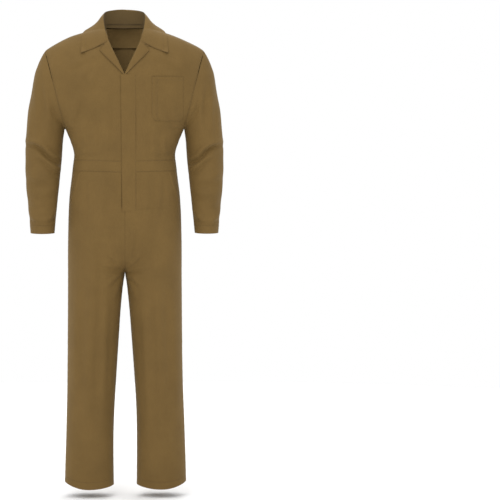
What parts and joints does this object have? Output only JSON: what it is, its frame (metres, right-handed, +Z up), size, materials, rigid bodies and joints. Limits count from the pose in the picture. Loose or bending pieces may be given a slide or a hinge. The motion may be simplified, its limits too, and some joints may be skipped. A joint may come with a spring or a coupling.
{
  "type": "work coverall",
  "caption": "One-piece work coverall worn as a beekeeping suit: notched collar, covered front zip, action back, elasticated waist, long sleeves and plain hems.",
  "frame": {"origin": "the neck hang point: on the mirror plane, in the plane of the shoulder seams, level with the back neck seam, 1590 mm above the trouser hems", "axes": "+Z up, the suit's front faces -Y, the wearer's left is +X"},
  "size_m": [0.6788, 0.2558, 1.6444],
  "materials": {
    "twill": "matt woven twill",
    "twill_inside": "matt, wrong side of the twill",
    "elastic": "ribbed",
    "zip_tape": "herringbone tape",
    "brass": "satin"
  },
  "bodies": {
    "torso": {"left_front_bodice": "twill", "right_front_bodice": "twill", "left_side_back": "twill", "right_side_back": "twill", "left_front_waistband": "twill", "right_front_waistband": "twill", "left_front_hip": "twill", "right_front_hip": "twill", "left_back_hip": "twill", "right_back_hip": "twill", "left_front_fork": "twill", "right_front_fork": "twill", "left_back_fork": "twill", "right_back_fork": "twill", "left_sleeve_head": "twill", "right_sleeve_head": "twill", "left_lapel": "twill", "right_lapel": "twill", "centre_back": "twill", "back_waistband": "twill", "collar_leaf": "twill", "chest_pocket": "twill", "hip_pocket": "twill", "neck_facing": "twill_inside", "collar_stand": "twill_inside", "left_side_pocket_bag": "twill_inside", "right_side_pocket_bag": "twill_inside", "left_waist_elastic": "elastic", "right_waist_elastic": "elastic", "left_zip_tape": "zip_tape", "right_zip_tape": "zip_tape", "left_zip_teeth": "brass", "right_zip_teeth": "brass", "zip_bottom_stop": "brass", "zip_top_stop": "brass"},
    "fly": {"fly": "twill"},
    "zip_slider": {"zip_slider": "brass"},
    "zip_pull": {"zip_pull": "brass"},
    "left_upper_arm": {"left_upper_sleeve": "twill", "left_elbow": "twill"},
    "left_forearm": {"left_lower_sleeve": "twill", "left_cuff": "twill"},
    "left_thigh": {"left_front_thigh": "twill", "left_back_thigh": "twill", "left_knee": "twill"},
    "left_shin": {"left_front_shin": "twill", "left_back_shin": "twill", "left_leg_hem": "twill"},
    "right_upper_arm": {"right_upper_sleeve": "twill", "right_elbow": "twill"},
    "right_forearm": {"right_lower_sleeve": "twill", "right_cuff": "twill"},
    "right_thigh": {"right_front_thigh": "twill", "right_back_thigh": "twill", "right_knee": "twill"},
    "right_shin": {"right_front_shin": "twill", "right_back_shin": "twill", "right_leg_hem": "twill"}
  },
  "joints": [
    {"name": "left_shoulder", "type": "hinge", "parent": "torso", "child": "left_upper_arm", "pos_m": [0.225, 0, -0.26], "axis": [0, -1, 0], "range_deg": [0, 40], "deforming": ["left_sleeve_head"]},
    {"name": "left_elbow_bend", "type": "hinge", "parent": "left_upper_arm", "child": "left_forearm", "pos_m": [0.275, 0.01, -0.45], "axis": [-1, 0, 0], "range_deg": [0, 80], "deforming": ["left_elbow"]},
    {"name": "left_hip", "type": "hinge", "parent": "torso", "child": "left_thigh", "pos_m": [0.1, 0.0052, -0.755], "axis": [-1, 0, 0], "range_deg": [-10, 45], "deforming": ["left_front_fork", "left_back_fork"]},
    {"name": "left_knee_bend", "type": "hinge", "parent": "left_thigh", "child": "left_shin", "pos_m": [0.114, 0, -1.17], "axis": [1, 0, 0], "range_deg": [0, 75], "deforming": ["left_knee"]},
    {"name": "right_shoulder", "type": "hinge", "parent": "torso", "child": "right_upper_arm", "pos_m": [-0.225, 0, -0.26], "axis": [0, 1, 0], "range_deg": [0, 40], "deforming": ["right_sleeve_head"]},
    {"name": "right_elbow_bend", "type": "hinge", "parent": "right_upper_arm", "child": "right_forearm", "pos_m": [-0.275, 0.01, -0.45], "axis": [-1, 0, 0], "range_deg": [0, 80], "deforming": ["right_elbow"]},
    {"name": "right_hip", "type": "hinge", "parent": "torso", "child": "right_thigh", "pos_m": [-0.1, 0.0052, -0.755], "axis": [-1, 0, 0], "range_deg": [-10, 45], "deforming": ["right_front_fork", "right_back_fork", "hip_pocket"]},
    {"name": "right_knee_bend", "type": "hinge", "parent": "right_thigh", "child": "right_shin", "pos_m": [-0.114, 0, -1.17], "axis": [1, 0, 0], "range_deg": [0, 75], "deforming": ["right_knee"]},
    {"name": "fly_open", "type": "hinge", "parent": "torso", "child": "fly", "pos_m": [0.0365, -0.1195, -0.42], "axis": [0, -0.0137, 0.9999], "range_deg": [0, 100], "stiffness_Nm_per_rad": 0.002},
    {"name": "zip_slide", "type": "slide", "parent": "torso", "child": "zip_slider", "axis": [0, 0.0137, -0.9999], "range_m": [0, 0.417]},
    {"name": "pull_swing", "type": "hinge", "parent": "zip_slider", "child": "zip_pull", "pos_m": [0, -0.11396, -0.2041], "axis": [-1, 0, 0], "range_deg": [0, 12]}
  ]
}
